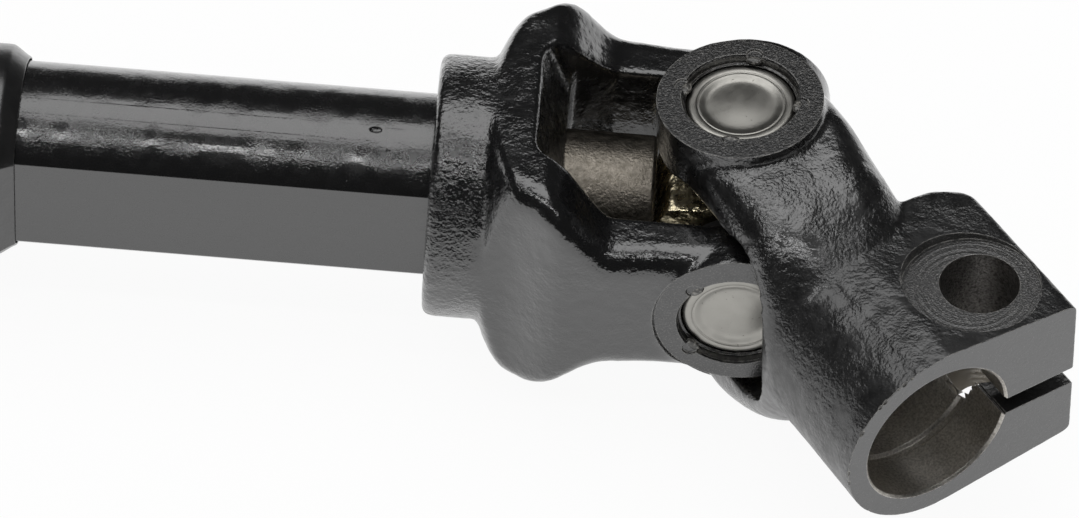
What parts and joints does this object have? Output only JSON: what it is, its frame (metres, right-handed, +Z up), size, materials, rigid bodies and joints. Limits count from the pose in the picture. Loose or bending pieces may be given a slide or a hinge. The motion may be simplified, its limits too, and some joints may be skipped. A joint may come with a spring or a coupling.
{
  "type": "steering shaft",
  "caption": "Telescoping double-D steering shaft with a needle-bearing universal joint and a split pinch clamp at each end.",
  "frame": {"origin": "middle of the part's footprint, on the surface that it lies on", "axes": "+X along the shaft towards the bent lower joint, +Z up"},
  "size_m": [0.4264, 0.0714, 0.0462],
  "materials": {
    "forging": "gloss black paint over a rough forged surface, machined faces dull grey",
    "shaft": "gloss black paint, bare brown-grey steel on the stub",
    "cup": "bright ground steel",
    "cross": "oiled forged steel with ground trunnions",
    "needle": "ground",
    "seal": "matte",
    "bush": "moulded nylon"
  },
  "bodies": {
    "upper_shaft": {"sleeve": "shaft", "sleeve_weld": "shaft", "upper_tube_yoke": "forging", "upper_cup_front": "cup", "upper_needles_front": "needle", "upper_seal_front": "seal", "upper_cup_back": "cup", "upper_needles_back": "needle", "upper_seal_back": "seal"},
    "lower_shaft": {"inner_shaft": "shaft", "slide_bush": "bush", "lower_tube_yoke": "forging", "lower_cup_front": "cup", "lower_needles_front": "needle", "lower_seal_front": "seal", "lower_cup_back": "cup", "lower_needles_back": "needle", "lower_seal_back": "seal"},
    "lower_cross_body": {"lower_cross": "cross"},
    "lower_clamp": {"lower_clamp_yoke": "forging", "lower_cup_top": "cup", "lower_needles_top": "needle", "lower_seal_top": "seal", "lower_cup_bottom": "cup", "lower_needles_bottom": "needle", "lower_seal_bottom": "seal"},
    "upper_cross_body": {"upper_cross": "cross"},
    "upper_clamp": {"upper_clamp_yoke": "forging", "upper_cup_top": "cup", "upper_needles_top": "needle", "upper_seal_top": "seal", "upper_cup_bottom": "cup", "upper_needles_bottom": "needle", "upper_seal_bottom": "seal"}
  },
  "joints": [
    {"name": "shaft_slide", "type": "slide", "parent": "upper_shaft", "child": "lower_shaft", "axis": [1, 0, 0], "range_m": [-0.055, 0.045]},
    {"name": "lower_pitch", "type": "hinge", "parent": "lower_shaft", "child": "lower_cross_body", "pos_m": [0.16647, 0.01342, 0.02311], "axis": [0, -1, 0], "range_deg": [-22.8, 13.2]},
    {"name": "lower_bend", "type": "hinge", "parent": "lower_cross_body", "child": "lower_clamp", "pos_m": [0.16647, 0.01342, 0.02311], "axis": [-0.0837, 0, 0.9965], "range_deg": [-4, 116]},
    {"name": "upper_pitch", "type": "hinge", "parent": "upper_shaft", "child": "upper_cross_body", "pos_m": [-0.16353, 0.01342, 0.02311], "axis": [0, 1, 0], "range_deg": [-18, 18]},
    {"name": "upper_bend", "type": "hinge", "parent": "upper_cross_body", "child": "upper_clamp", "pos_m": [-0.16353, 0.01342, 0.02311], "axis": [0, 0, 1], "range_deg": [-60, 60]}
  ]
}
